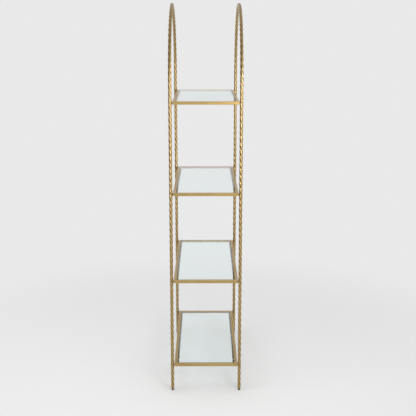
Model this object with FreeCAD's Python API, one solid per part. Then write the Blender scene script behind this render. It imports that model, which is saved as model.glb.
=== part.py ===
import FreeCAD, Part
import math
import os

from FreeCAD import Placement, Rotation, Vector

# A glass etagere: two hoops of twisted square bar stand on levelling feet and carry four
# shelves, each a mitred frame of square tube with a ledge inside it that holds a glass panel.
# Millimetres, +Z up, width along X, depth along Y, origin on the floor under the middle.
# Shelf 1 is the lowest. Left is -X and front is -Y.

# Overall size
overall_width = 762.0
overall_depth = 356.0

# Heights
shelf_count = 4
bottom_shelf_height = 131.0  # floor to the underside of the lowest rails
shelf_spacing = 440.0
straight_above_top_shelf = 83.0  # top of the highest rails to where the arch begins

# Twisted bar of the hoops
bar_side = 12.7
quarter_turns_per_shelf = 14  # whole turns of a flat, so that each bolt meets a flat
points_per_quarter_turn = 4

# Square tube of the shelf frames
rail_side = 15.0
rail_wall = 1.5
rail_corner_radius = 1.5

# Ledge strip inside each frame
ledge_width = 8.0
ledge_thickness = 2.0

# Clear bumpers between ledge and glass
bumper_diameter = 7.0
bumper_height = 1.2
bumper_corner_inset = 45.0  # from the ends of a long ledge to its outer bumpers

# Glass panels
glass_thickness = 5.0
glass_side_gap = 1.5
glass_below_rim = 0.5
glass_corner_radius = 3.0
glass_arris = 0.5

# Bolts that hold the frames to the hoops
bolt_diameter = 5.0
bolt_hole_clearance = 0.25
bolt_past_nut = 2.5
head_diameter = 9.5
head_height = 2.75
head_rim_height = 0.7
head_crown_diameter = 5.2
head_bulge = 0.33  # how far the dome swells past a straight cone
socket_across_flats = 3.0
socket_depth = 1.7
seat_depth = 0.5  # flat seats cut into the twisted bar
seat_clearance = 0.4

# Spacers between bar and frame, and nuts welded inside the tube
spacer_diameter = 11.0
spacer_length = 3.5
nut_across_flats = 8.0
nut_height = 4.7
thread_clearance = 0.1

# Levelling feet
foot_height = 9.0
foot_top_diameter = 12.0
foot_waist_diameter = 11.0
foot_sole_diameter = 7.0
foot_rim_height = 2.2
foot_sole_round = 2.5  # height over which the side rolls in to the sole
foot_sole_bulge = 0.75  # how far that roll swells past a straight slope
stud_diameter = 6.0
stud_length = 24.0
stud_in_foot = 5.0
stud_fit_clearance = 0.05
stud_bore_spare = 2.0  # bore left above the stud's end

# How far a drill runs past the face that it opens
drill_overrun = 1.0

# Worked-out sizes of the hoops
bar_reach = bar_side / math.sqrt(2)
leg_x = overall_width / 2 - bar_reach
hoop_y = overall_depth / 2 - bar_reach
arch_radius = leg_x
shelf_bottoms = [bottom_shelf_height + n * shelf_spacing for n in range(shelf_count)]
bolt_heights = [bottom + rail_side / 2 for bottom in shelf_bottoms]
arch_height = shelf_bottoms[-1] + rail_side + straight_above_top_shelf
leg_length = arch_height - foot_height
arch_length = math.pi * arch_radius
bar_length = 2 * leg_length + arch_length
quarter_turn_length = shelf_spacing / quarter_turns_per_shelf

# Worked-out sizes of the shelf frames
seat_offset = bar_side / 2 - seat_depth
frame_half_length = leg_x + rail_side / 2
frame_half_depth = hoop_y - seat_offset - spacer_length
opening_half_length = frame_half_length - rail_side
opening_half_depth = frame_half_depth - rail_side
ledge_top = rail_side - glass_below_rim - glass_thickness - bumper_height

sides = {"left": -1, "right": 1}
faces = {"front": -1, "back": 1}
nodes = {}


def cylinder(diameter, height, base=Vector(0, 0, 0), axis=Vector(0, 0, 1)):
    return Part.makeCylinder(diameter / 2, height, base, axis)


def hexagon_prism(across_flats, height):
    corner = across_flats / math.sqrt(3)
    turns = [math.radians(60 * n) for n in range(7)]
    outline = [Vector(corner * math.cos(a), corner * math.sin(a), 0) for a in turns]
    return Part.Face(Part.makePolygon(outline)).extrude(Vector(0, 0, height))


def block(x_range, y_range, z_range):
    """A box between its two limits along each axis."""
    size = [high - low for low, high in (x_range, y_range, z_range)]
    return Part.makeBox(*size, Vector(x_range[0], y_range[0], z_range[0]))


def swollen_arc(start, end, bulge):
    """An arc in the XZ plane between two points, swelling away from the Z axis."""
    rise = end - start if end.z > start.z else start - end
    outwards = Vector(rise.z, 0, -rise.x).normalize()
    return Part.Arc(start, (start + end) * 0.5 + outwards * bulge, end).toShape()


def turned_outwards(shape, x, y, z, outward):
    """A shape drawn along +Z, laid along Y so that its +Z points out of the etagere."""
    turn = Rotation(Vector(0, 0, 1), Vector(0, outward, 0))
    moved = shape.copy()
    moved.Placement = Placement(Vector(x, y, z), turn).multiply(shape.Placement)
    return moved


def quarter_turns_at(distance):
    """Twist of the bar, in quarter turns, at a distance along the hoop from its left foot."""
    to_low_bolt = bolt_heights[0] - foot_height
    to_top_bolt = bolt_heights[-1] - foot_height
    over_the_top = bar_length - 2 * to_top_bolt
    turns_over_the_top = round(over_the_top / quarter_turn_length)
    turns_to_top = (to_top_bolt - to_low_bolt) / quarter_turn_length
    past_top = distance - to_top_bolt
    if past_top <= 0:
        return (distance - to_low_bolt) / quarter_turn_length
    if past_top <= over_the_top:
        return turns_to_top + turns_over_the_top * past_top / over_the_top
    return turns_to_top + turns_over_the_top + (past_top - over_the_top) / quarter_turn_length


def bar_centre(distance):
    """Centre of the bar and its outward direction, in the hoop's own plane."""
    if distance <= leg_length:
        return Vector(-leg_x, 0, foot_height + distance), Vector(-1, 0, 0)
    if distance >= leg_length + arch_length:
        return Vector(leg_x, 0, foot_height + bar_length - distance), Vector(1, 0, 0)
    angle = math.pi - (distance - leg_length) / arch_radius
    outward = Vector(math.cos(angle), 0, math.sin(angle))
    return Vector(0, 0, arch_height) + outward * arch_radius, outward


def bar_corner(distance, corner):
    """One of the four corners of the twisted square section."""
    centre, outward = bar_centre(distance)
    angle = (quarter_turns_at(distance) + corner + 0.5) * math.pi / 2
    return centre + (outward * math.cos(angle) + Vector(0, math.sin(angle), 0)) * bar_reach


def twisted_bar():
    """The whole bar: ruled faces between its four twisted edges, in strips of about a turn."""
    strip_count = round(bar_length / (4 * quarter_turn_length))
    strip_length = bar_length / strip_count
    steps = 4 * points_per_quarter_turn
    skin = []
    for strip in range(strip_count):
        places = [(strip + step / steps) * strip_length for step in range(steps + 1)]
        edges = []
        for corner in range(4):
            curve = Part.BSplineCurve()
            curve.interpolate([bar_corner(place, corner) for place in places])
            edges.append(curve.toShape())
        for corner in range(4):
            skin.append(Part.makeRuledSurface(edges[corner], edges[(corner + 1) % 4]))
    for end in (0, bar_length):
        square = [bar_corner(end, corner % 4) for corner in range(5)]
        skin.append(Part.Face(Part.makePolygon(square)))
    shell = Part.makeCompound(skin)
    shell.sewShape()
    return Part.makeSolid(shell.Shells[0])


def hoop_cutters(outward):
    """Bolt holes with a flat seat on both sides, and the bores for the levelling feet."""
    tools = []
    bore_depth = stud_length - stud_in_foot + stud_bore_spare
    for side in sides.values():
        for height in bolt_heights:
            past_bar = bar_reach + drill_overrun
            through = cylinder(bolt_diameter + 2 * bolt_hole_clearance, 2 * past_bar)
            tools.append(turned_outwards(through, side * leg_x, -outward * past_bar, height, outward))
            for way, diameter in ((outward, head_diameter), (-outward, spacer_diameter)):
                seat = cylinder(diameter + 2 * seat_clearance, bar_reach)
                tools.append(turned_outwards(seat, side * leg_x, way * seat_offset, height, way))
        bore = stud_diameter + 2 * stud_fit_clearance
        tools.append(cylinder(bore, bore_depth, Vector(side * leg_x, 0, foot_height)))
    return tools


def make_hoops():
    bar = twisted_bar()
    for face, outward in faces.items():
        hoop = bar.cut(hoop_cutters(outward))
        hoop.translate(Vector(0, outward * hoop_y, 0))
        nodes[f"hoop_{face}"] = hoop


def mitred_tube(half_length, half_width_out):
    """A rail along X on the +Y side of a frame, with its underside at z = 0."""
    y_out, y_in = half_width_out, half_width_out - rail_side
    outside = block((-half_length, half_length), (y_in, y_out), (0, rail_side))
    along = [edge for edge in outside.Edges if edge.BoundBox.XLength > half_length]
    outside = outside.makeFillet(rail_corner_radius, along)
    hollow = block(
        (-half_length, half_length),
        (y_in + rail_wall, y_out - rail_wall),
        (rail_wall, rail_side - rail_wall),
    )
    corners = [
        Vector(-half_length, y_out, 0),
        Vector(half_length, y_out, 0),
        Vector(half_length - rail_side, y_in, 0),
        Vector(-half_length + rail_side, y_in, 0),
    ]
    mitre = Part.Face(Part.makePolygon(corners + corners[:1])).extrude(Vector(0, 0, rail_side))
    return outside.cut(hollow).common(mitre)


def make_rails(shelf, bottom):
    spin = {"back": 0, "left": 90, "front": 180, "right": 270}
    for place, angle in spin.items():
        if place in faces:
            rail = mitred_tube(frame_half_length, frame_half_depth)
            holes = [
                turned_outwards(
                    cylinder(bolt_diameter + 2 * bolt_hole_clearance, rail_wall + 2 * drill_overrun),
                    side * leg_x,
                    frame_half_depth - rail_wall - drill_overrun,
                    rail_side / 2,
                    1,
                )
                for side in sides.values()
            ]
            rail = rail.cut(holes)
        else:
            rail = mitred_tube(frame_half_depth, frame_half_length)
        rail.rotate(Vector(0, 0, 0), Vector(0, 0, 1), angle)
        rail.translate(Vector(0, 0, bottom))
        nodes[f"{shelf}_{place}_rail"] = rail


def make_ledges(shelf, bottom):
    """Four strips welded round the inside of the frame, the short ones between the long ones."""
    heights = (bottom + ledge_top - ledge_thickness, bottom + ledge_top)
    inner_depth = opening_half_depth - ledge_width
    inner_length = opening_half_length - ledge_width
    strips = []
    for sign in (-1, 1):
        y_range = sorted((sign * inner_depth, sign * opening_half_depth))
        x_range = sorted((sign * inner_length, sign * opening_half_length))
        strips.append(block((-opening_half_length, opening_half_length), y_range, heights))
        strips.append(block(x_range, (-inner_depth, inner_depth), heights))
    nodes[f"{shelf}_ledges"] = Part.makeCompound(strips)


def make_bumpers(shelf, bottom):
    """Three bumpers along each long ledge."""
    ledge_middle = opening_half_depth - ledge_width / 2
    places = (bumper_corner_inset - opening_half_length, 0, opening_half_length - bumper_corner_inset)
    nodes[f"{shelf}_bumpers"] = Part.makeCompound(
        [
            cylinder(bumper_diameter, bumper_height, Vector(x, sign * ledge_middle, bottom + ledge_top))
            for x in places
            for sign in (-1, 1)
        ]
    )


def make_glass(shelf, bottom):
    """A panel with rounded corners and ground edges, resting on the bumpers."""
    half_length = opening_half_length - glass_side_gap
    half_depth = opening_half_depth - glass_side_gap
    underside = bottom + ledge_top + bumper_height
    panel = block(
        (-half_length, half_length),
        (-half_depth, half_depth),
        (underside, underside + glass_thickness),
    )
    upright = [edge for edge in panel.Edges if edge.BoundBox.ZLength > glass_thickness / 2]
    panel = panel.makeFillet(glass_corner_radius, upright)
    rims = [edge for edge in panel.Edges if edge.BoundBox.ZLength < glass_thickness / 2]
    nodes[f"{shelf}_glass"] = panel.makeChamfer(glass_arris, rims)


def button_bolt(shank_length):
    """A button-head socket bolt along +Z, with its head's underside at z = 0."""
    rim, crown = head_diameter / 2, head_crown_diameter / 2
    shoulder = Vector(rim, 0, head_rim_height)
    top = Vector(crown, 0, head_height)
    corners = [Vector(0, 0, head_height), Vector(0, 0, 0), Vector(rim, 0, 0), shoulder]
    edges = Part.makePolygon(corners).Edges
    edges += [swollen_arc(shoulder, top, head_bulge), Part.makeLine(top, corners[0])]
    profile = Part.Face(Part.Wire(Part.__sortEdges__(edges)))
    head = profile.revolve(Vector(0, 0, 0), Vector(0, 0, 1), 360)
    socket = hexagon_prism(socket_across_flats, socket_depth)
    socket.translate(Vector(0, 0, head_height - socket_depth))
    shank = cylinder(bolt_diameter, shank_length, Vector(0, 0, -shank_length))
    return head.fuse(shank).cut(socket).removeSplitter()


def weld_nut():
    """A hexagon nut along -Z, with the face that is welded to the tube at z = 0."""
    nut = hexagon_prism(nut_across_flats, nut_height)
    nut = nut.cut(cylinder(bolt_diameter + 2 * thread_clearance, nut_height))
    nut.translate(Vector(0, 0, -nut_height))
    return nut


def make_fixings(shelf, height):
    """At each leg: a bolt through the bar and a spacer, into a nut inside the tube."""
    hole = bolt_diameter + 2 * bolt_hole_clearance
    spacer = cylinder(spacer_diameter, spacer_length).cut(cylinder(hole, spacer_length))
    to_nut_end = 2 * seat_offset + spacer_length + rail_wall + nut_height
    bolt = button_bolt(to_nut_end + bolt_past_nut)
    head_y = hoop_y + seat_offset
    nut_y = frame_half_depth - rail_wall
    fixings = {
        "bolts": (bolt, head_y),
        "spacers": (spacer, frame_half_depth),
        "weld_nuts": (weld_nut(), nut_y),
    }
    for kind, (shape, y) in fixings.items():
        nodes[f"{shelf}_{kind}"] = Part.makeCompound(
            [
                turned_outwards(shape, side * leg_x, outward * y, height, outward)
                for side in sides.values()
                for outward in faces.values()
            ]
        )


def foot_pad():
    """A moulded foot, round at its sole, with a blind hole for its stud."""
    top, waist, sole = foot_top_diameter / 2, foot_waist_diameter / 2, foot_sole_diameter / 2
    waist_height = foot_height - foot_rim_height
    start = Vector(waist - (waist - sole) * foot_sole_round / waist_height, 0, foot_sole_round)
    end = Vector(sole, 0, 0)
    upper = [
        Vector(0, 0, 0),
        Vector(0, 0, foot_height),
        Vector(top, 0, foot_height),
        Vector(top, 0, waist_height),
        Vector(waist, 0, waist_height),
        start,
    ]
    edges = Part.makePolygon(upper).Edges
    edges += [swollen_arc(start, end, foot_sole_bulge), Part.makeLine(end, upper[0])]
    profile = Part.Face(Part.Wire(Part.__sortEdges__(edges)))
    pad = profile.revolve(Vector(0, 0, 0), Vector(0, 0, 1), 360)
    bore = stud_diameter + 2 * stud_fit_clearance
    return pad.cut(cylinder(bore, stud_in_foot, Vector(0, 0, foot_height - stud_in_foot)))


def make_feet():
    pad = foot_pad()
    stud = cylinder(stud_diameter, stud_length, Vector(0, 0, foot_height - stud_in_foot))
    for face, outward in faces.items():
        for side, sign in sides.items():
            for kind, shape in (("pad", pad), ("stud", stud)):
                piece = shape.copy()
                piece.translate(Vector(sign * leg_x, outward * hoop_y, 0))
                nodes[f"foot_{face}_{side}_{kind}"] = piece


make_hoops()
for number, bottom in enumerate(shelf_bottoms, start=1):
    shelf = f"shelf_{number}"
    make_rails(shelf, bottom)
    make_ledges(shelf, bottom)
    make_bumpers(shelf, bottom)
    make_glass(shelf, bottom)
    make_fixings(shelf, bottom + rail_side / 2)
make_feet()

os.makedirs("parts", exist_ok=True)
for name, shape in nodes.items():
    shape.exportStep(f"parts/{name}.step")
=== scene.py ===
import math

import bmesh
import bpy
from mathutils import Matrix, Vector


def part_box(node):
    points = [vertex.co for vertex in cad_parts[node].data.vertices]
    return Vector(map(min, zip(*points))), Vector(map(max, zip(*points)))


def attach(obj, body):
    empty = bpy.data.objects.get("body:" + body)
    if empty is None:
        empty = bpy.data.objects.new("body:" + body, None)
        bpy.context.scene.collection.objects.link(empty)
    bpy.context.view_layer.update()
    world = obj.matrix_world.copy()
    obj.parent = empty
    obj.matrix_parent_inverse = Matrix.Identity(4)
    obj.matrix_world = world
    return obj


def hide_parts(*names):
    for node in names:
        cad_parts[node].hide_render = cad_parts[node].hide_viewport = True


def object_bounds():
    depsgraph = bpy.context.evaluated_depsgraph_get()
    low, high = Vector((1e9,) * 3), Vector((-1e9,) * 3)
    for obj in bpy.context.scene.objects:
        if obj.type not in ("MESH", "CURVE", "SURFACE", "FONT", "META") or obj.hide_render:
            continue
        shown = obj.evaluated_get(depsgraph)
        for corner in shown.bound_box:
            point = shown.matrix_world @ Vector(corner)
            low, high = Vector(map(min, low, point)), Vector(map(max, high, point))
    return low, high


# Glass etagere in antique gold: two arched hoops of twisted square bar carry four mitred tube
# frames with inset glass. Metres, +Z up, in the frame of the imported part.

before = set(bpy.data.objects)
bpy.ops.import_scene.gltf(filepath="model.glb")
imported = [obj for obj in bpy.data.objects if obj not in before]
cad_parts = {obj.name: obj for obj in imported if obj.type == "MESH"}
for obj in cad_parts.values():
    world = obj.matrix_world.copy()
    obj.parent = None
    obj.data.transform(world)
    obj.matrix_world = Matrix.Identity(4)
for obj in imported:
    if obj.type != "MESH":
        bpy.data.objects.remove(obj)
cad_low, cad_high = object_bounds()

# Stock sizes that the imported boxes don't give
BAR_SIDE = 0.0127
BAR_DRAWN_SIDE = 0.0140  # over the flats, once twisting has rounded the section
BAR_CORNER_RADIUS = 0.0040
BAR_HOLLOW = 0.0005  # how far twisting draws in the middle of each flat
QUARTER_TURNS_PER_SHELF = 14
RAIL_CORNER_RADIUS = 0.0015
MITRE_LINE = 0.00015  # hairline left where two ground mitres meet
LEDGE_WIDTH = 0.008
LEDGE_EDGE = 0.0003
GLASS_CORNER_RADIUS = 0.003
GLASS_ARRIS = 0.0006
BUMPER_DIAMETER = 0.007
BUMPER_EDGE = 0.0004
SEAT_DEPTH = 0.0005  # flat seats cut into the twisted bar
SEAT_CLEARANCE = 0.0004
BOLT_DIAMETER = 0.005
BOLT_TIP = 0.00075  # chamfer at the end of the shank
BOLT_BORE_CLEARANCE = 0.00025
HEAD_HEIGHT = 0.00275
HEAD_RIM_HEIGHT = 0.0007
HEAD_CROWN_DIAMETER = 0.0052
SOCKET_ACROSS_FLATS = 0.003
SOCKET_DEPTH = 0.0017
SPACER_EDGE = 0.0004
STUD_BORE_CLEARANCE = 0.00005
STUD_BORE_DEPTH = 0.021
THREAD_PITCH = 0.001
THREAD_DEPTH = 0.00055
THREAD_RIDGE = (  # share of the depth, share of the pitch
    (0, 0), (0, 0.15), (1, 0.45), (1, 0.6), (0, 0.9), (0, 1),
)
THREAD_RUN_IN = 1.5  # turns of thread below the stud's end, before it is cut square
THREAD_SPARE_TURNS = 2
FOOT_RIM_HEIGHT = 0.0022
FOOT_RIM_EASE = 0.00044
FOOT_WAIST_DIAMETER = 0.011
FOOT_SOLE_DIAMETER = 0.007
SOLE_ROLL_END = -20  # degrees, where the rounded sole meets the foot's side

# How finely the round and twisted shapes are drawn
STEPS_PER_QUARTER_TURN = 10
BAR_CORNER_STEPS, BAR_FLAT_STEPS = 5, 4
RAIL_CORNER_STEPS, RAIL_FLAT_STEPS = 4, 6
MITRE_STEPS = 1
LEDGE_EDGE_STEPS = 2
GLASS_CORNER_STEPS, GLASS_ARRIS_STEPS = 6, 2
BUMPER_STEPS, BUMPER_EDGE_STEPS = 28, 3
SEAT_STEPS = 40
STUD_BORE_STEPS = 32
BOLT_STEPS = 36
DOME_STEP = 15  # degrees
SPACER_STEPS = 40
FOOT_STEPS, SOLE_STEPS, FOOT_RIM_STEPS = 40, 6, 3
THREAD_STEPS = 24
FLOOR_STEPS = 96
SHARP_EDGE = math.radians(38)  # a sharper edge breaks the shading
BOLT_SHARP_EDGE = math.radians(32)
SAME_POINT = 1e-7
SAME_THREAD_POINT = 1e-6

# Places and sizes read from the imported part
SHELVES = [f"shelf_{number}" for number in range(1, 5)]
FACES = {"front": -1, "back": 1}
SIDES = {"left": -1, "right": 1}
RAIL_QUARTER_TURNS = {"front": 2, "back": 0, "left": 1, "right": 3}  # round from the back
rail_low, rail_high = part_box("shelf_1_front_rail")
hoop_low, hoop_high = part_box("hoop_front")
spacer_low, spacer_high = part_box("shelf_1_spacers")
head_low, head_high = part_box("shelf_1_bolts")
RAIL_SIDE = rail_high.z - rail_low.z
FRAME_HALF_LENGTH = rail_high.x
FRAME_HALF_DEPTH = -rail_low.y
LEG_X = FRAME_HALF_LENGTH - RAIL_SIDE / 2
HOOP_Y = -(hoop_low.y + hoop_high.y) / 2
BAR_REACH = BAR_SIDE / math.sqrt(2)
FOOT_TOP = hoop_low.z
ARCH_HEIGHT = hoop_high.z - BAR_REACH - LEG_X
LEG_LENGTH = ARCH_HEIGHT - FOOT_TOP
ARCH_LENGTH = math.pi * LEG_X
BAR_LENGTH = 2 * LEG_LENGTH + ARCH_LENGTH
SHELF_BOTTOMS = [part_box(f"{shelf}_front_rail")[0].z for shelf in SHELVES]
BOLT_HEIGHTS = [bottom + RAIL_SIDE / 2 for bottom in SHELF_BOTTOMS]
QUARTER_TURN = (SHELF_BOTTOMS[1] - SHELF_BOTTOMS[0]) / QUARTER_TURNS_PER_SHELF
SEAT_OFFSET = BAR_SIDE / 2 - SEAT_DEPTH
HEAD_SEAT = HOOP_Y + SEAT_OFFSET
HEAD_DIAMETER = head_high.z - head_low.z
SHANK_LENGTH = HEAD_SEAT - FRAME_HALF_DEPTH + RAIL_SIDE / 2
SPACER_DIAMETER = spacer_high.z - spacer_low.z
SPACER_LENGTH = spacer_high.y - FRAME_HALF_DEPTH

# Colours of the finishes
GOLD_DEEP, GOLD_PALE = (0.52, 0.355, 0.125, 1), (0.58, 0.41, 0.160, 1)
# The edge colour is partly rubbing wear and partly a painted highlight.
GOLD_RUBBED_AND_HIGHLIGHT = (0.60, 0.455, 0.245, 1)
# The hollow colours are partly a real brown glazing and partly painted shade.
BAR_GLAZE_AND_SHADE, TUBE_GLAZE_AND_SHADE = (0.19, 0.115, 0.040, 1), (0.26, 0.16, 0.052, 1)
GLASS_WHITE = (1.0, 1.0, 1.0, 1)
GLASS_SHADOW = (0.982, 0.964, 0.966, 1)
GLASS_GREEN = (0.50, 0.90, 0.88, 1)
RUBBER_CLOUDY, RUBBER_CLEAR = (0.86, 0.88, 0.87, 1), (0.93, 0.94, 0.93, 1)

# Antique gold: pairs are the span of a pattern and the levels at its two ends
# The bar takes far more of the dark hollow colour than the tube; part of it is painted shade.
BAR_GLAZE_AND_SHADE_COVER, TUBE_GLAZE_AND_SHADE_COVER = 0.95, 0.40
GLAZE_AND_SHADE_LEFT_ON_EDGES = 0.15
DRIFT_SCALE, MOTTLE_SCALE, GRAIN_SCALE = 9.0, 170.0, 1400.0  # features to a metre
GRAIN_DETAIL = 3.0
HOLLOW_SPAN = (0.2, 0.7)
GLAZE_AND_SHADE_SPAN, GLAZE_AND_SHADE_LEVELS = (0.22, 0.62), (0.35, 1.0)
RUBBED_AND_HIGHLIGHT_SPAN = (0.74, 0.98)
WORN_SPAN, WORN_LEVELS = (0.3, 0.6), (0.9, 0.3)
DRIFT_SPAN = (0.35, 0.65)
GLAZE_DULLNESS = (0.32, 0.46)  # roughness without and with glaze
RUBBED_SHINE = 0.06
LACQUER_WEIGHT, LACQUER_ROUGHNESS = 0.45, 0.22
GOLD_BUMP, GOLD_BUMP_DEPTH = 0.12, 0.00025

# Glass, rubber and plain stock
WIPING_STRETCH = (1.0, 3.2, 1.0)
SMEAR_SCALE = 14.0
SMEAR_SPAN, SMEAR_ROUGHNESS = (0.5, 0.8), (0.0, 0.02)
GLASS_IOR, GLASS_DENSITY = 1.52, 20.0
CLOUD_SCALE = 420.0
CLOUD_SPAN, CLOUD_ROUGHNESS = (0.3, 0.7), (0.24, 0.36)
RUBBER_IOR, RUBBER_CLARITY = 1.49, 0.75
SPECK_SPAN = (0.42, 0.68)
SPECK_ROUGHNESS_SPAN, SPECK_ROUGHENING = (0.3, 0.7), 0.12
SPECK_BUMP, SPECK_BUMP_DEPTH = 0.2, 0.0001
SOFT_NOISE = (3.0, 0.5)  # detail and roughness
PLAIN_STOCK = {  # colour, speck colour, specks to a metre, metallic, roughness
    # The ledge strips are coloured far darker than the gold frame, as painted shade for the shade
    # under the glass.
    "shaded_ledge_gold": ((0.105, 0.085, 0.048, 1), (0.20, 0.15, 0.07, 1), 170.0, 1.0, 0.40),
    # The spacers are nearly black: partly a dark bronze, partly painted shade for the crevice at
    # each leg joint.
    "dark_bronze": ((0.045, 0.029, 0.015, 1), (0.10, 0.065, 0.032, 1), 900.0, 1.0, 0.36),
    "aged_brass": ((0.52, 0.36, 0.14, 1), (0.30, 0.19, 0.075, 1), 700.0, 1.0, 0.30),
    "plain_steel": ((0.56, 0.57, 0.58, 1), (0.44, 0.45, 0.46, 1), 800.0, 1.0, 0.30),
    "black_nylon": ((0.012, 0.012, 0.014, 1), (0.022, 0.022, 0.025, 1), 1500.0, 0.0, 0.42),
}

# Camera, light and floor
CAMERA_PLACE = Vector((4.0223, -0.0052, 1.7888))
CAMERA_PITCH = math.radians(12.0)
CAMERA_YAW = math.radians(0.25)
CAMERA_LENS = 66.87
CAMERA_SENSOR = 36.0
CAMERA_SHIFT_Y = -0.03
BACKDROP = (0.815, 0.815, 0.815, 1)
FILL_LIGHT = 0.76  # level of the backdrop where it lights surfaces
CEILING_SPAN, CEILING_LEVEL = (0.25, 0.8), 0.75
DIM_SIDE = Vector((0.6, -0.8, 0.0)).normalized()  # the unlit corner of the studio
DIM_SIDE_SPAN, DIM_SIDE_LEVEL = (0.25, 0.85), 0.28
LIT_SIDE = Vector((0.8, 0.6, 0.02)).normalized()  # the studio's window
LIT_SIDE_SPAN, LIT_SIDE_LEVEL = (0.62, 0.97), 1.6
FLOOR_COLOUR = (0.86, 0.86, 0.86, 1)
FLOOR_RADIUS = 14.0
FLOOR_FADE = (0.7, 2.2)  # lit as far as the first distance, backdrop from the second
MIDDLE_HEIGHT = cad_high.z / 2
SOFTBOXES = {  # place, height aimed at, side, watts, shows in metal, shows through glass
    "softbox_front": ((2.4, 1.15, 1.5), 3.4, 0.9, 46.0, True, True),
    "softbox_left": ((1.6, -2.8, 2.6), 0.0, 2.0, 21.0, False, False),
    "softbox_overhead": ((0.5, -0.1, 5.0), MIDDLE_HEIGHT, 4.0, 54.0, False, True),
}


# Finishes

def put(tree, socket, value):
    """Links a socket to another, or sets its value."""
    if isinstance(value, bpy.types.NodeSocket):
        tree.links.new(value, socket)
    else:
        socket.default_value = value


def add(tree, kind, settings=None, inputs=None):
    """A shader node with its settings and inputs; an input that is a socket is linked."""
    made = tree.nodes.new("ShaderNode" + kind)
    for name, value in (settings or {}).items():
        setattr(made, name, value)
    for name, value in (inputs or {}).items():
        put(tree, made.inputs[name], value)
    return made


def new_finish(name):
    """An empty material, with its node tree and the surface's own coordinates."""
    material = bpy.data.materials.new(name)
    material.use_nodes = True
    tree = material.node_tree
    tree.nodes.clear()
    place = add(tree, "TexCoord").outputs["Object"]
    return material, tree, place


def noise(tree, place, scale, detail=4.0, roughness=0.6):
    """Grey noise with so many features to a metre."""
    inputs = {"Vector": place, "Scale": scale, "Detail": detail, "Roughness": roughness}
    return add(tree, "TexNoise", inputs=inputs).outputs["Fac"]


def ramp(tree, value, span, levels=(0.0, 1.0)):
    """A value eased from a span to the levels at its ends, and held there."""
    inputs = {"Value": value, "From Min": span[0], "From Max": span[1]}
    inputs |= {"To Min": levels[0], "To Max": levels[1]}
    settings = {"interpolation_type": "SMOOTHSTEP"}
    return add(tree, "MapRange", settings, inputs).outputs["Result"]


def blend(tree, amount, colour_a, colour_b):
    """Colour a where the amount is 0, colour b where it is 1."""
    mix = add(tree, "Mix", {"data_type": "RGBA"})
    # A Mix node has a set of sockets for each data type, so they are picked by number
    for number, value in ((0, amount), (6, colour_a), (7, colour_b)):
        put(tree, mix.inputs[number], value)
    return mix.outputs[2]


def level_between(tree, amount, level_a, level_b):
    """Level a where the amount is 0, level b where it is 1."""
    inputs = {0: amount, 2: level_a, 3: level_b}
    return add(tree, "Mix", {"data_type": "FLOAT"}, inputs).outputs[0]


def maths(tree, operation, first, second):
    """One sum on two values."""
    return add(tree, "Math", {"operation": operation}, {0: first, 1: second}).outputs["Value"]


def towards(tree, look, side):
    """How nearly a direction points to a side: 1 straight at it, 0 square to it."""
    product = add(tree, "VectorMath", {"operation": "DOT_PRODUCT"}, {0: look, 1: side})
    return product.outputs["Value"]


def bump(tree, height, strength, depth):
    """Normals for a fine relief."""
    inputs = {"Height": height, "Strength": strength, "Distance": depth}
    return add(tree, "Bump", inputs=inputs).outputs["Normal"]


def finish_with(tree, shader, volume=None):
    """Gives the material its surface, and its volume where it has one."""
    inputs = {"Surface": shader}
    if volume is not None:
        inputs["Volume"] = volume
    add(tree, "OutputMaterial", inputs=inputs)


def antique_gold_finish(name, glaze_and_shade_cover, glaze_and_shade_colour):
    """Lacquered gold with a brown glazing left in the hollows and worn back by rubbing along the
    edges. The dark hollows are partly real glazing and partly painted shade; the light edges are
    partly wear and partly a painted highlight.
    """
    material, tree, place = new_finish(name)
    edge = add(tree, "Attribute", {"attribute_name": "ridge"}).outputs["Fac"]
    drift = noise(tree, place, DRIFT_SCALE, *SOFT_NOISE)
    mottle = noise(tree, place, MOTTLE_SCALE)
    grain = noise(tree, place, GRAIN_SCALE, GRAIN_DETAIL)
    # Painted shade as well as real glazing: the middle of each flat is darkened, the bar far more
    # than the tube.
    hollow = ramp(tree, edge, HOLLOW_SPAN, (glaze_and_shade_cover, glaze_and_shade_cover * GLAZE_AND_SHADE_LEFT_ON_EDGES))
    glaze_and_shade = maths(tree, "MULTIPLY", ramp(tree, mottle, GLAZE_AND_SHADE_SPAN, GLAZE_AND_SHADE_LEVELS), hollow)
    worn = ramp(tree, mottle, WORN_SPAN, WORN_LEVELS)
    # Painted highlight as well as rubbing wear: the corners of the section are lightened.
    rubbed_and_highlight = maths(tree, "MULTIPLY", ramp(tree, edge, RUBBED_AND_HIGHLIGHT_SPAN), worn)
    body = blend(tree, ramp(tree, drift, DRIFT_SPAN), GOLD_DEEP, GOLD_PALE)
    glazed_and_shaded = blend(tree, glaze_and_shade, body, glaze_and_shade_colour)
    dull = ramp(tree, glaze_and_shade, (0.0, 1.0), GLAZE_DULLNESS)
    shine = maths(tree, "MULTIPLY", rubbed_and_highlight, RUBBED_SHINE)
    relief = maths(tree, "ADD", grain, mottle)
    gold = add(tree, "BsdfPrincipled", inputs={
        "Base Color": blend(tree, rubbed_and_highlight, glazed_and_shaded, GOLD_RUBBED_AND_HIGHLIGHT),
        "Metallic": 1.0,
        "Roughness": maths(tree, "SUBTRACT", dull, shine),
        "Coat Weight": LACQUER_WEIGHT,
        "Coat Roughness": LACQUER_ROUGHNESS,
        "Normal": bump(tree, relief, GOLD_BUMP, GOLD_BUMP_DEPTH),
    })
    finish_with(tree, gold.outputs["BSDF"])
    return material


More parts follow.
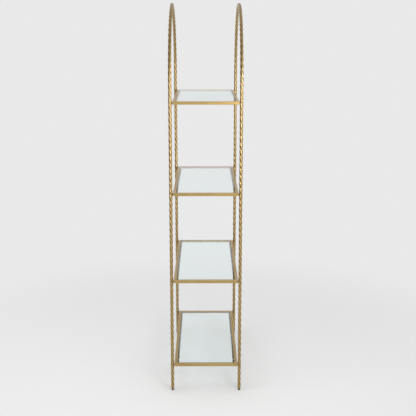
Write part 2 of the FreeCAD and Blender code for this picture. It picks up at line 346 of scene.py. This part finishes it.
def shelf_glass_finish(name):
    """Clear float glass, faintly green through its thickness, with the odd wiping mark."""
    material, tree, place = new_finish(name)
    wiping = add(tree, "Mapping", inputs={"Vector": place, "Scale": WIPING_STRETCH})
    smear = noise(tree, wiping.outputs["Vector"], SMEAR_SCALE)
    pane = add(tree, "BsdfPrincipled", inputs={
        "Base Color": GLASS_WHITE,
        "Roughness": ramp(tree, smear, SMEAR_SPAN, SMEAR_ROUGHNESS),
        "IOR": GLASS_IOR,
        "Transmission Weight": 1.0,
    }).outputs["BSDF"]
    clear = add(tree, "BsdfTransparent", inputs={"Color": GLASS_SHADOW}).outputs["BSDF"]
    shadow = add(tree, "LightPath").outputs["Is Shadow Ray"]
    mixed = add(tree, "MixShader", inputs={0: shadow, 1: pane, 2: clear})
    depth = add(tree, "VolumeAbsorption", inputs={"Color": GLASS_GREEN, "Density": GLASS_DENSITY})
    finish_with(tree, mixed.outputs["Shader"], depth.outputs["Volume"])
    return material


def clear_rubber_finish(name):
    """Soft clear bumper rubber, a little cloudy."""
    material, tree, place = new_finish(name)
    cloud = noise(tree, place, CLOUD_SCALE, *SOFT_NOISE)
    rubber = add(tree, "BsdfPrincipled", inputs={
        "Base Color": blend(tree, cloud, RUBBER_CLOUDY, RUBBER_CLEAR),
        "Roughness": ramp(tree, cloud, CLOUD_SPAN, CLOUD_ROUGHNESS),
        "IOR": RUBBER_IOR,
        "Transmission Weight": RUBBER_CLARITY,
    })
    finish_with(tree, rubber.outputs["BSDF"])
    return material


def speckled_finish(name, colour, speck, scale, metallic, roughness):
    """A plain stock finish: one colour broken by fine specks of another."""
    material, tree, place = new_finish(name)
    specks = noise(tree, place, scale)
    levels = (roughness, roughness + SPECK_ROUGHENING)
    surface = add(tree, "BsdfPrincipled", inputs={
        "Base Color": blend(tree, ramp(tree, specks, SPECK_SPAN), colour, speck),
        "Metallic": metallic,
        "Roughness": ramp(tree, specks, SPECK_ROUGHNESS_SPAN, levels),
        "Normal": bump(tree, specks, SPECK_BUMP, SPECK_BUMP_DEPTH),
    })
    finish_with(tree, surface.outputs["BSDF"])
    return material


FINISHES = {
    "bar_gold": antique_gold_finish("bar_gold", BAR_GLAZE_AND_SHADE_COVER, BAR_GLAZE_AND_SHADE),
    "tube_gold": antique_gold_finish("tube_gold", TUBE_GLAZE_AND_SHADE_COVER, TUBE_GLAZE_AND_SHADE),
    "shelf_glass": shelf_glass_finish("shelf_glass"),
    "clear_rubber": clear_rubber_finish("clear_rubber"),
}
FINISHES |= {name: speckled_finish(name, *values) for name, values in PLAIN_STOCK.items()}


# Mesh helpers

def in_order(items):
    """A set of mesh items in the order of their numbers."""
    return sorted(items, key=lambda item: item.index)


def only(kind, items):
    """The items of one kind among those that an operator gives back."""
    return [item for item in items if isinstance(item, kind)]


def climb(edge):
    """How far an edge rises from end to end."""
    return abs(edge.verts[0].co.z - edge.verts[1].co.z)


def bevel(bm, geom, width, steps, affect="EDGES"):
    """Rounds edges or corners off."""
    bmesh.ops.bevel(
        bm,
        geom=geom,
        offset=width,
        offset_type="OFFSET",
        affect=affect,
        segments=steps,
        profile=0.5,
        material=-1,
    )


def shade(bm, sharpest=SHARP_EDGE):
    """Smooth faces that break at every edge sharper than the limit."""
    bmesh.ops.recalc_face_normals(bm, faces=bm.faces[:])
    for face in bm.faces:
        face.smooth = True
    for edge in bm.edges:
        edge.smooth = edge.calc_face_angle(0.0) < sharpest


def new_object(name, bm):
    """An object that takes over a finished mesh, in the scene."""
    mesh = bpy.data.meshes.new(name)
    bm.to_mesh(mesh)
    bm.free()
    made = bpy.data.objects.new(name, mesh)
    bpy.context.scene.collection.objects.link(made)
    return made


def piece(name, bm, finish, body, node):
    """A finished mesh that takes the place of its CAD node and moves with its body."""
    made = new_object(name, bm)
    made.data.materials.append(FINISHES[finish])
    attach(made, body)
    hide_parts(node)
    return made


def keep_flats_flat(made):
    """Normals that follow the large faces, so only the rounded edges catch the light."""
    weighted = made.modifiers.new("flats", "WEIGHTED_NORMAL")
    weighted.keep_sharp = True


def rounded_square(side, radius, round_steps, flat_steps):
    """A square face with rounded corners. Its ridge value is 0 mid-flat and 1 at a corner."""
    bm = bmesh.new()
    bmesh.ops.create_grid(bm, x_segments=1, y_segments=1, size=side / 2)
    bevel(bm, bm.verts[:], radius, round_steps, "VERTICES")
    bmesh.ops.delete(bm, geom=bm.faces[:], context="FACES_ONLY")
    # The edges round a corner are all shorter than a quarter of the side
    flats = [edge for edge in bm.edges if edge.calc_length() > side / 4]
    bmesh.ops.subdivide_edges(bm, edges=flats, cuts=flat_steps - 1)
    bmesh.ops.contextual_create(bm, geom=bm.edges[:])
    ridge = bm.verts.layers.float.new("ridge")
    for vert in bm.verts:
        near, far = sorted((abs(vert.co.x), abs(vert.co.y)))
        vert[ridge] = near / far
    return bm


def draw_out(bm, along):
    """Extrudes a section into a bar that is closed at both ends."""
    edges = {edge for face in bm.faces for edge in face.edges}
    verts = {vert for face in bm.faces for vert in face.verts}
    section = list(bm.faces) + in_order(edges) + in_order(verts)
    drawn = bmesh.ops.extrude_face_region(bm, geom=section)
    far_end = only(bmesh.types.BMVert, drawn["geom"])
    bmesh.ops.translate(bm, verts=far_end, vec=along)


def drawn_outline(bm, points):
    """Corners and edges through the (radius, height) points of an outline, to be spun."""
    corners = [bm.verts.new((radius, 0, height)) for radius, height in points]
    return corners + [bm.edges.new(pair) for pair in zip(corners, corners[1:])]


def turned(outline, steps):
    """A solid turned about Z from the (radius, height) points of its outline."""
    bm = bmesh.new()
    bmesh.ops.spin(
        bm,
        geom=drawn_outline(bm, outline),
        cent=(0, 0, 0),
        axis=(0, 0, 1),
        angle=2 * math.pi,
        steps=steps,
        use_merge=True,
    )
    bmesh.ops.remove_doubles(bm, verts=bm.verts[:], dist=SAME_POINT)
    return bm


def arc(centre, radius, start, end, steps):
    """Points on an arc of an outline, from one angle in degrees to another."""
    angles = [math.radians(start + (end - start) * step / steps) for step in range(steps + 1)]
    return [(centre[0] + radius * math.cos(a), centre[1] + radius * math.sin(a)) for a in angles]


def add_cylinder(bm, radius, length, steps, matrix):
    """A closed cylinder about the middle of its axis, along Z until it is placed."""
    made = bmesh.ops.create_cone(
        bm,
        cap_ends=True,
        segments=steps,
        radius1=radius,
        radius2=radius,
        depth=length,
        matrix=matrix,
    )
    return made["verts"]


def block(low, high):
    """The matrix that turns a unit cube into a block between two corners."""
    return Matrix.Translation((low + high) / 2) @ Matrix.Diagonal((*(high - low), 1))


def facing(outward, place):
    """Turns a shape drawn along +Z to point out of the etagere along Y, at a place."""
    return Matrix.Translation(place) @ Matrix.Rotation(-outward * math.pi / 2, 4, "X")


# Hoops of twisted bar

def quarter_turns_at(distance):
    """Twist of the bar at a distance from its left foot, counted from the top left bolt."""
    to_top_bolt = BOLT_HEIGHTS[-1] - FOOT_TOP
    over_the_top = BAR_LENGTH - 2 * to_top_bolt
    turns_over = round(over_the_top / QUARTER_TURN)
    past_bolt = distance - to_top_bolt
    if past_bolt <= 0:
        return past_bolt / QUARTER_TURN
    if past_bolt <= over_the_top:
        return turns_over * past_bolt / over_the_top
    return turns_over + (past_bolt - over_the_top) / QUARTER_TURN


def place_on_hoop(point):
    """Where a point of the straight bar lies once the bar is twisted and bent into a hoop."""
    twisted = Matrix.Rotation(-quarter_turns_at(point.z) * math.pi / 2, 3, "Z") @ point
    beyond = point.z - LEG_LENGTH - ARCH_LENGTH
    if point.z <= LEG_LENGTH:
        outward, centre = Vector((-1, 0, 0)), Vector((-LEG_X, 0, FOOT_TOP + point.z))
    elif beyond >= 0:
        outward, centre = Vector((1, 0, 0)), Vector((LEG_X, 0, ARCH_HEIGHT - beyond))
    else:
        angle = math.pi - (point.z - LEG_LENGTH) / LEG_X
        outward = Vector((math.cos(angle), 0, math.sin(angle)))
        centre = Vector((0, 0, ARCH_HEIGHT)) + outward * LEG_X
    return centre + outward * twisted.x - Vector((0, twisted.y, 0))


def hollow_flats(bm):
    """Draws in the flats of the bar's section, deepest in the middle of each."""
    flat = BAR_DRAWN_SIDE / 2 - BAR_CORNER_RADIUS
    for vert in bm.verts:
        near, far = sorted((abs(vert.co.x), abs(vert.co.y)))
        if near < flat:
            drawn_in = BAR_HOLLOW * (1 + math.cos(math.pi * near / flat)) / 2
            vert.co *= 1 - drawn_in / far


def bent_twisted_bar():
    """One length of bar: twisted so that a flat meets each bolt, then bent to leg, arch, leg."""
    bm = rounded_square(BAR_DRAWN_SIDE, BAR_CORNER_RADIUS, BAR_CORNER_STEPS, BAR_FLAT_STEPS)
    hollow_flats(bm)
    draw_out(bm, (0, 0, BAR_LENGTH))
    along = [edge for edge in bm.edges if edge.calc_length() > BAR_LENGTH / 2]
    steps = round(STEPS_PER_QUARTER_TURN * BAR_LENGTH / QUARTER_TURN)
    bmesh.ops.subdivide_edges(bm, edges=along, cuts=steps - 1)
    for vert in bm.verts:
        vert.co = place_on_hoop(vert.co)
    bmesh.ops.recalc_face_normals(bm, faces=bm.faces[:])
    return bm


def hoop_cutter(outward):
    """Flat seats for bolt heads and spacers, and the bores for the foot studs."""
    stud_low, stud_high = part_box("foot_front_left_stud")
    stud_bore = (stud_high.x - stud_low.x) / 2 + STUD_BORE_CLEARANCE
    bm = bmesh.new()
    for side in SIDES.values():
        for height in BOLT_HEIGHTS:
            for way, diameter in ((outward, HEAD_DIAMETER), (-outward, SPACER_DIAMETER)):
                y = outward * HOOP_Y + way * (SEAT_OFFSET + BAR_SIDE / 2)
                place = facing(way, (side * LEG_X, y, height))
                add_cylinder(bm, diameter / 2 + SEAT_CLEARANCE, BAR_SIDE, SEAT_STEPS, place)
        at_foot = Matrix.Translation((side * LEG_X, outward * HOOP_Y, FOOT_TOP))
        add_cylinder(bm, stud_bore, 2 * STUD_BORE_DEPTH, STUD_BORE_STEPS, at_foot)
    return new_object("hoop_cutter", bm)


def make_hoops():
    """The two hoops, each bent from one bar and then cut for its bolts and feet."""
    bar = bent_twisted_bar()
    for face, outward in FACES.items():
        bm = bar.copy()
        bmesh.ops.translate(bm, verts=bm.verts[:], vec=(0, outward * HOOP_Y, 0))
        name, node = f"twisted_hoop_{face}", f"hoop_{face}"
        hoop = piece(name, bm, "bar_gold", "frame", node)
        cutter = hoop_cutter(outward)
        seats = hoop.modifiers.new("bolt_seats", "BOOLEAN")
        seats.operation = "DIFFERENCE"
        seats.solver = "EXACT"
        seats.object = cutter
        cut_hoop = hoop.evaluated_get(bpy.context.evaluated_depsgraph_get())
        cut = bpy.data.meshes.new_from_object(cut_hoop)
        hoop.modifiers.remove(seats)
        hoop.data = cut
        cut.materials.clear()
        cut.materials.append(FINISHES["bar_gold"])
        bpy.data.objects.remove(cutter)
        cut.shade_smooth()
        cut.set_sharp_from_angle(angle=SHARP_EDGE)
        keep_flats_flat(hoop)
    bar.free()


# Shelf frames

def make_rail(shelf, place, quarter_turns, bottom):
    """A length of square tube, mitred at both ends, on its side of the frame."""
    half_length, outside = FRAME_HALF_LENGTH, FRAME_HALF_DEPTH
    if quarter_turns % 2:
        half_length, outside = outside, half_length
    bm = rounded_square(RAIL_SIDE, RAIL_CORNER_RADIUS, RAIL_CORNER_STEPS, RAIL_FLAT_STEPS)
    on_end = Matrix.Rotation(math.pi / 2, 3, "Y")
    bmesh.ops.rotate(bm, verts=bm.verts[:], cent=(0, 0, 0), matrix=on_end)
    middle = (-half_length, outside - RAIL_SIDE / 2, bottom + RAIL_SIDE / 2)
    bmesh.ops.translate(bm, verts=bm.verts[:], vec=middle)
    draw_out(bm, (2 * half_length, 0, 0))
    for vert in bm.verts:
        vert.co.x -= math.copysign(outside - vert.co.y, vert.co.x)
    bmesh.ops.recalc_face_normals(bm, faces=bm.faces[:])
    # Only the two mitred ends have more than four corners
    mitres = [face for face in bm.faces if len(face.verts) > 4]
    bevel(bm, [edge for face in mitres for edge in face.edges], MITRE_LINE, MITRE_STEPS)
    about_z = Matrix.Rotation(quarter_turns * math.pi / 2, 3, "Z")
    bmesh.ops.rotate(bm, verts=bm.verts[:], cent=(0, 0, 0), matrix=about_z)
    shade(bm)
    name, node = f"tube_{shelf}_{place}", f"{shelf}_{place}_rail"
    tube = piece(name, bm, "tube_gold", "frame", node)
    keep_flats_flat(tube)


def add_strip(bm, low, high):
    """A ledge strip between two corners, with its edges eased."""
    made = bmesh.ops.create_cube(bm, size=1, matrix=block(Vector(low), Vector(high)))
    edges = {edge for vert in made["verts"] for edge in vert.link_edges}
    bevel(bm, in_order(edges), LEDGE_EDGE, LEDGE_EDGE_STEPS)


def make_ledges(shelf):
    """Flat strips round the inside of the frame, the short ones between the long ones."""
    low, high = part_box(f"{shelf}_ledges")
    bm = bmesh.new()
    inner_x, inner_y = high.x - LEDGE_WIDTH, high.y - LEDGE_WIDTH
    for sign in (-1, 1):
        across = sorted((sign * inner_y, sign * high.y))
        along = sorted((sign * inner_x, sign * high.x))
        add_strip(bm, (low.x, across[0], low.z), (high.x, across[1], high.z))
        add_strip(bm, (along[0], -inner_y, low.z), (along[1], inner_y, high.z))
    shade(bm)
    name, node = f"ledge_strips_{shelf}", f"{shelf}_ledges"
    # The strips' dark finish is painted shade.
    piece(name, bm, "shaded_ledge_gold", "frame", node)


def make_bumpers(shelf):
    """Six soft discs on the long ledges."""
    low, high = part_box(f"{shelf}_bumpers")
    radius = BUMPER_DIAMETER / 2
    bm = bmesh.new()
    for x in (low.x + radius, 0, high.x - radius):
        for y in (low.y + radius, high.y - radius):
            middle = Matrix.Translation((x, y, (low.z + high.z) / 2))
            disc = add_cylinder(bm, radius, high.z - low.z, BUMPER_STEPS, middle)
            top = [vert for vert in disc if vert.co.z > low.z + BUMPER_EDGE]
            edges = {edge for vert in top for edge in vert.link_edges}
            rim = [edge for edge in edges if climb(edge) < BUMPER_EDGE]
            bevel(bm, in_order(rim), BUMPER_EDGE, BUMPER_EDGE_STEPS)
    shade(bm)
    piece(f"glass_bumpers_{shelf}", bm, "clear_rubber", "frame", f"{shelf}_bumpers")


def make_glass(shelf):
    """A panel with rounded corners and polished edges, lying in its frame."""
    bm = bmesh.new()
    bmesh.ops.create_cube(bm, size=1, matrix=block(*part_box(f"{shelf}_glass")))
    upright = [edge for edge in bm.edges if climb(edge) > GLASS_ARRIS]
    bevel(bm, upright, GLASS_CORNER_RADIUS, GLASS_CORNER_STEPS)
    rims = [edge for edge in bm.edges if climb(edge) < GLASS_ARRIS]
    bevel(bm, rims, GLASS_ARRIS, GLASS_ARRIS_STEPS)
    shade(bm)
    name, node = f"glass_panel_{shelf}", f"{shelf}_glass"
    panel = piece(name, bm, "shelf_glass", f"{shelf}_panel", node)
    keep_flats_flat(panel)


# Fixings

def bolt_mesh():
    """A button-head bolt along +Z, its head's underside at 0, with a hexagon socket."""
    rim = HEAD_DIAMETER / 2
    crown = HEAD_CROWN_DIAMETER / 2
    shank = BOLT_DIAMETER / 2
    rise = HEAD_HEIGHT - HEAD_RIM_HEIGHT
    end = -SHANK_LENGTH
    outline = [(0, end), (shank - BOLT_TIP, end), (shank, end + BOLT_TIP), (shank, 0), (rim, 0)]
    for angle in map(math.radians, range(0, 91, DOME_STEP)):
        radius = crown + (rim - crown) * math.cos(angle)
        outline.append((radius, HEAD_RIM_HEIGHT + rise * math.sin(angle)))
    bm = turned(outline, BOLT_STEPS)
    mouth = [edge for edge in bm.edges if edge.is_boundary]
    socket_corner = SOCKET_ACROSS_FLATS / math.sqrt(3)
    at_crown = Matrix.Translation((0, 0, HEAD_HEIGHT))
    socket = bmesh.ops.create_circle(bm, segments=6, radius=socket_corner, matrix=at_crown)
    hexagon = in_order({edge for vert in socket["verts"] for edge in vert.link_edges})
    bmesh.ops.bridge_loops(bm, edges=mouth + hexagon)
    walls = bmesh.ops.extrude_edge_only(bm, edges=hexagon)["geom"]
    floor = only(bmesh.types.BMVert, walls)
    bmesh.ops.translate(bm, verts=floor, vec=(0, 0, -SOCKET_DEPTH))
    wall_edges = only(bmesh.types.BMEdge, walls)
    floor_rim = [edge for edge in wall_edges if all(vert in floor for vert in edge.verts)]
    bmesh.ops.contextual_create(bm, geom=floor_rim)
    shade(bm, BOLT_SHARP_EDGE)
    return bm


def spacer_mesh():
    """A short turned sleeve along +Z, with eased rims."""
    outer = SPACER_DIAMETER / 2
    inner = BOLT_DIAMETER / 2 + BOLT_BORE_CLEARANCE
    bm = turned([
        (inner, 0),
        (outer - SPACER_EDGE, 0),
        (outer, SPACER_EDGE),
        (outer, SPACER_LENGTH - SPACER_EDGE),
        (outer - SPACER_EDGE, SPACER_LENGTH),
        (inner, SPACER_LENGTH),
        (inner, 0),
    ], SPACER_STEPS)
    shade(bm)
    return bm


def four_times(bm, height, offset):
    """A fixing drawn along +Z, set at each of the four legs at a height and a distance out."""
    mesh = bpy.data.meshes.new("fixing")
    bm.to_mesh(mesh)
    bm.free()
    group = bmesh.new()
    for side in SIDES.values():
        for outward in FACES.values():
            fixing = mesh.copy()
            fixing.transform(facing(outward, (side * LEG_X, outward * offset, height)))
            group.from_mesh(fixing)
            bpy.data.meshes.remove(fixing)
    bpy.data.meshes.remove(mesh)
    return group


def make_fixings(shelf, height):
    """The bolts and spacers that hold one shelf frame between the legs."""
    bolts = four_times(bolt_mesh(), height, HEAD_SEAT)
    piece(f"bolts_{shelf}", bolts, "aged_brass", "frame", f"{shelf}_bolts")
    # The spacers' nearly black finish is partly painted shade.
    spacers = four_times(spacer_mesh(), height, FRAME_HALF_DEPTH)
    piece(f"spacers_{shelf}", spacers, "dark_bronze", "frame", f"{shelf}_spacers")


# Levelling feet

def make_pad(foot):
    """A moulded black foot with an eased rim and a rounded sole."""
    low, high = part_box(f"{foot}_pad")
    stud_low, stud_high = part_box(f"{foot}_stud")
    middle = (stud_low + stud_high) / 2
    rim = (high.x - low.x) / 2 - FOOT_RIM_EASE
    height = high.z
    waist = FOOT_WAIST_DIAMETER / 2
    sole = FOOT_SOLE_DIAMETER / 2
    waist_height = height - FOOT_RIM_HEIGHT
    rim_low, rim_top = waist_height + FOOT_RIM_EASE, height - FOOT_RIM_EASE
    roll = waist - sole
    outline = [(0, 0)]
    outline += arc((sole, roll), roll, -90, SOLE_ROLL_END, SOLE_STEPS)
    outline += [(waist, waist_height)]
    outline += arc((rim, rim_low), FOOT_RIM_EASE, -90, 0, FOOT_RIM_STEPS)
    outline += arc((rim, rim_top), FOOT_RIM_EASE, 0, 90, FOOT_RIM_STEPS)
    outline += [(0, height)]
    bm = turned(outline, FOOT_STEPS)
    bmesh.ops.translate(bm, verts=bm.verts[:], vec=(middle.x, middle.y, 0))
    shade(bm)
    piece(f"black_foot_{foot}", bm, "black_nylon", f"{foot}_sole", f"{foot}_pad")


def threaded_rod(crest, length):
    """A rod with one ridge wound up its whole length, cut square at both ends."""
    root = crest - THREAD_DEPTH
    ridge = [(root + out * THREAD_DEPTH, up * THREAD_PITCH) for out, up in THREAD_RIDGE]
    bm = bmesh.new()
    bmesh.ops.spin(
        bm,
        geom=drawn_outline(bm, ridge),
        cent=(0, 0, 0),
        axis=(0, 0, 1),
        angle=2 * math.pi,
        dvec=(0, 0, THREAD_PITCH / THREAD_STEPS),
        steps=THREAD_STEPS,
    )
    bmesh.ops.spin(
        bm,
        geom=bm.verts[:] + bm.edges[:] + bm.faces[:],
        cent=(0, 0, 0),
        axis=(0, 0, 1),
        angle=0,
        dvec=(0, 0, THREAD_PITCH),
        steps=math.ceil(length / THREAD_PITCH) + THREAD_SPARE_TURNS,
        use_duplicate=True,
    )
    bmesh.ops.remove_doubles(bm, verts=bm.verts[:], dist=SAME_THREAD_POINT)
    bmesh.ops.translate(bm, verts=bm.verts[:], vec=(0, 0, -THREAD_RUN_IN * THREAD_PITCH))
    for height, way in ((0, -1), (length, 1)):
        cut = bmesh.ops.bisect_plane(
            bm,
            geom=bm.verts[:] + bm.edges[:] + bm.faces[:],
            plane_co=(0, 0, height),
            plane_no=(0, 0, way),
            clear_outer=True,
        )
        rim = only(bmesh.types.BMEdge, cut["geom_cut"])
        bmesh.ops.contextual_create(bm, geom=rim)
    shade(bm)
    return bm


def make_stud(foot):
    """The threaded stud that carries a foot."""
    low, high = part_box(f"{foot}_stud")
    middle = (low + high) / 2
    bm = threaded_rod((high.x - low.x) / 2, high.z - low.z)
    bmesh.ops.translate(bm, verts=bm.verts[:], vec=(middle.x, middle.y, low.z))
    name, node = f"threaded_stud_{foot}", f"{foot}_stud"
    piece(name, bm, "plain_steel", f"{foot}_screw", node)


# Studio

def put_in_studio(made, place, aim):
    """Sets a camera or lamp at a place, looking along a direction."""
    made.location = place
    made.rotation_euler = aim.to_track_quat("-Z", "Y").to_euler()
    bpy.context.scene.collection.objects.link(made)


def set_camera():
    """Close to the photograph's view: from beyond the right-hand end, looking along the shelves."""
    data = bpy.data.cameras.new("camera")
    data.lens = CAMERA_LENS
    data.sensor_width = CAMERA_SENSOR
    data.shift_y = CAMERA_SHIFT_Y
    camera = bpy.data.objects.new("camera", data)
    level = math.cos(CAMERA_PITCH)
    ahead, aside = -level * math.cos(CAMERA_YAW), level * math.sin(CAMERA_YAW)
    put_in_studio(camera, CAMERA_PLACE, Vector((ahead, aside, -math.sin(CAMERA_PITCH))))
    bpy.context.scene.camera = camera


def set_world():
    """A pale backdrop. What the metal mirrors has a dim ceiling, a dim corner and a window."""
    world = bpy.data.worlds.new("pale_studio")
    world.use_nodes = True
    tree = world.node_tree
    tree.nodes.clear()
    path = add(tree, "LightPath").outputs
    look = add(tree, "TexCoord").outputs["Generated"]
    up = add(tree, "SeparateXYZ", inputs={0: look}).outputs["Z"]
    overhead = ramp(tree, up, CEILING_SPAN, (1.0, CEILING_LEVEL))
    corner = ramp(tree, towards(tree, look, DIM_SIDE), DIM_SIDE_SPAN, (1.0, DIM_SIDE_LEVEL))
    window = ramp(tree, towards(tree, look, LIT_SIDE), LIT_SIDE_SPAN, (1.0, LIT_SIDE_LEVEL))
    studio = maths(tree, "MULTIPLY", maths(tree, "MINIMUM", overhead, corner), window)
    seen = maths(tree, "MAXIMUM", path["Is Camera Ray"], path["Is Transmission Ray"])
    lit = level_between(tree, path["Is Glossy Ray"], FILL_LIGHT, studio)
    level = level_between(tree, seen, lit, 1.0)
    pale = add(tree, "Background", inputs={"Color": BACKDROP, "Strength": level})
    add(tree, "OutputWorld", inputs={"Surface": pale.outputs["Background"]})
    bpy.context.scene.world = world


def make_floor():
    """A wide pale floor that keeps the shadow and fades into the backdrop."""
    material, tree, place = new_finish("pale_floor")
    away = add(tree, "VectorMath", {"operation": "LENGTH"}, {0: place}).outputs["Value"]
    lit = add(tree, "BsdfDiffuse", inputs={"Color": FLOOR_COLOUR}).outputs["BSDF"]
    glow = {"Color": BACKDROP, "Strength": 1.0}
    distant = add(tree, "Emission", inputs=glow).outputs["Emission"]
    fade = ramp(tree, away, FLOOR_FADE)
    mixed = add(tree, "MixShader", inputs={0: fade, 1: lit, 2: distant})
    finish_with(tree, mixed.outputs["Shader"])
    bm = bmesh.new()
    bmesh.ops.create_circle(bm, cap_ends=True, segments=FLOOR_STEPS, radius=FLOOR_RADIUS)
    floor = new_object("floor", bm)
    floor.data.materials.append(material)


def set_lights():
    """Square softboxes, which the camera never sees."""
    for name, (place, aim_height, side, watts, in_metal, through_glass) in SOFTBOXES.items():
        data = bpy.data.lights.new(name, "AREA")
        data.size = side
        data.energy = watts
        lamp = bpy.data.objects.new(name, data)
        lamp.visible_camera = False
        lamp.visible_glossy = in_metal
        lamp.visible_transmission = through_glass
        put_in_studio(lamp, place, Vector((0, 0, aim_height)) - Vector(place))


make_hoops()
for shelf, bottom, bolt_height in zip(SHELVES, SHELF_BOTTOMS, BOLT_HEIGHTS):
    for place, quarter_turns in RAIL_QUARTER_TURNS.items():
        make_rail(shelf, place, quarter_turns, bottom)
    make_ledges(shelf)
    make_bumpers(shelf)
    make_glass(shelf)
    make_fixings(shelf, bolt_height)
    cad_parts[f"{shelf}_weld_nuts"].data.materials[0] = FINISHES["plain_steel"]
for face in FACES:
    for side in SIDES:
        make_pad(f"foot_{face}_{side}")
        make_stud(f"foot_{face}_{side}")
set_camera()
set_world()
make_floor()
set_lights()
bpy.context.scene.view_settings.view_transform = "Standard"
